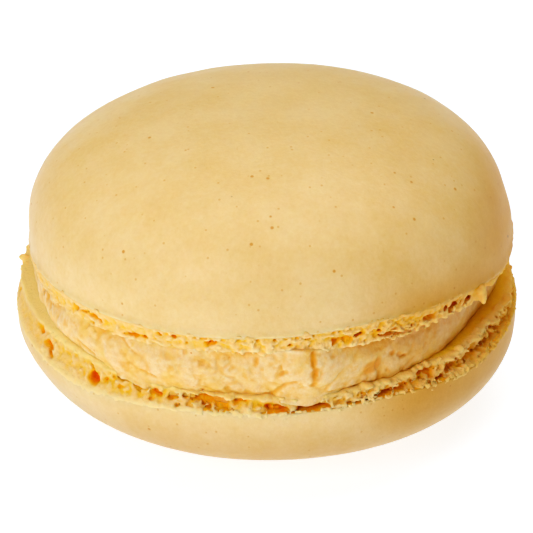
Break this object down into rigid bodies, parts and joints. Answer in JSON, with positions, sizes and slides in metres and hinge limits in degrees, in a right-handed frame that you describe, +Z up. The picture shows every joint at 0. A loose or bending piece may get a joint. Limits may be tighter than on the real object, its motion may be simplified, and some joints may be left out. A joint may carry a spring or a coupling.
{
  "type": "lemon macaron",
  "caption": "Round sandwich biscuit: domed meringue shells with crumbly feet, joined by a layer of cream, resting on one dome.",
  "frame": {"origin": "on the flat resting spot, under the middle of the whole", "axes": "+Z up through both shells; -Y is the front, where the upper shell is lifted; +X is to the right seen from the front"},
  "size_m": [0.0458, 0.0462, 0.0291],
  "materials": {
    "shell": "matte baked meringue",
    "cream": "soft satin cream"
  },
  "bodies": {
    "root": {"bottom_shell": "shell", "filling": "cream", "top_shell": "shell"}
  },
  "joints": []
}
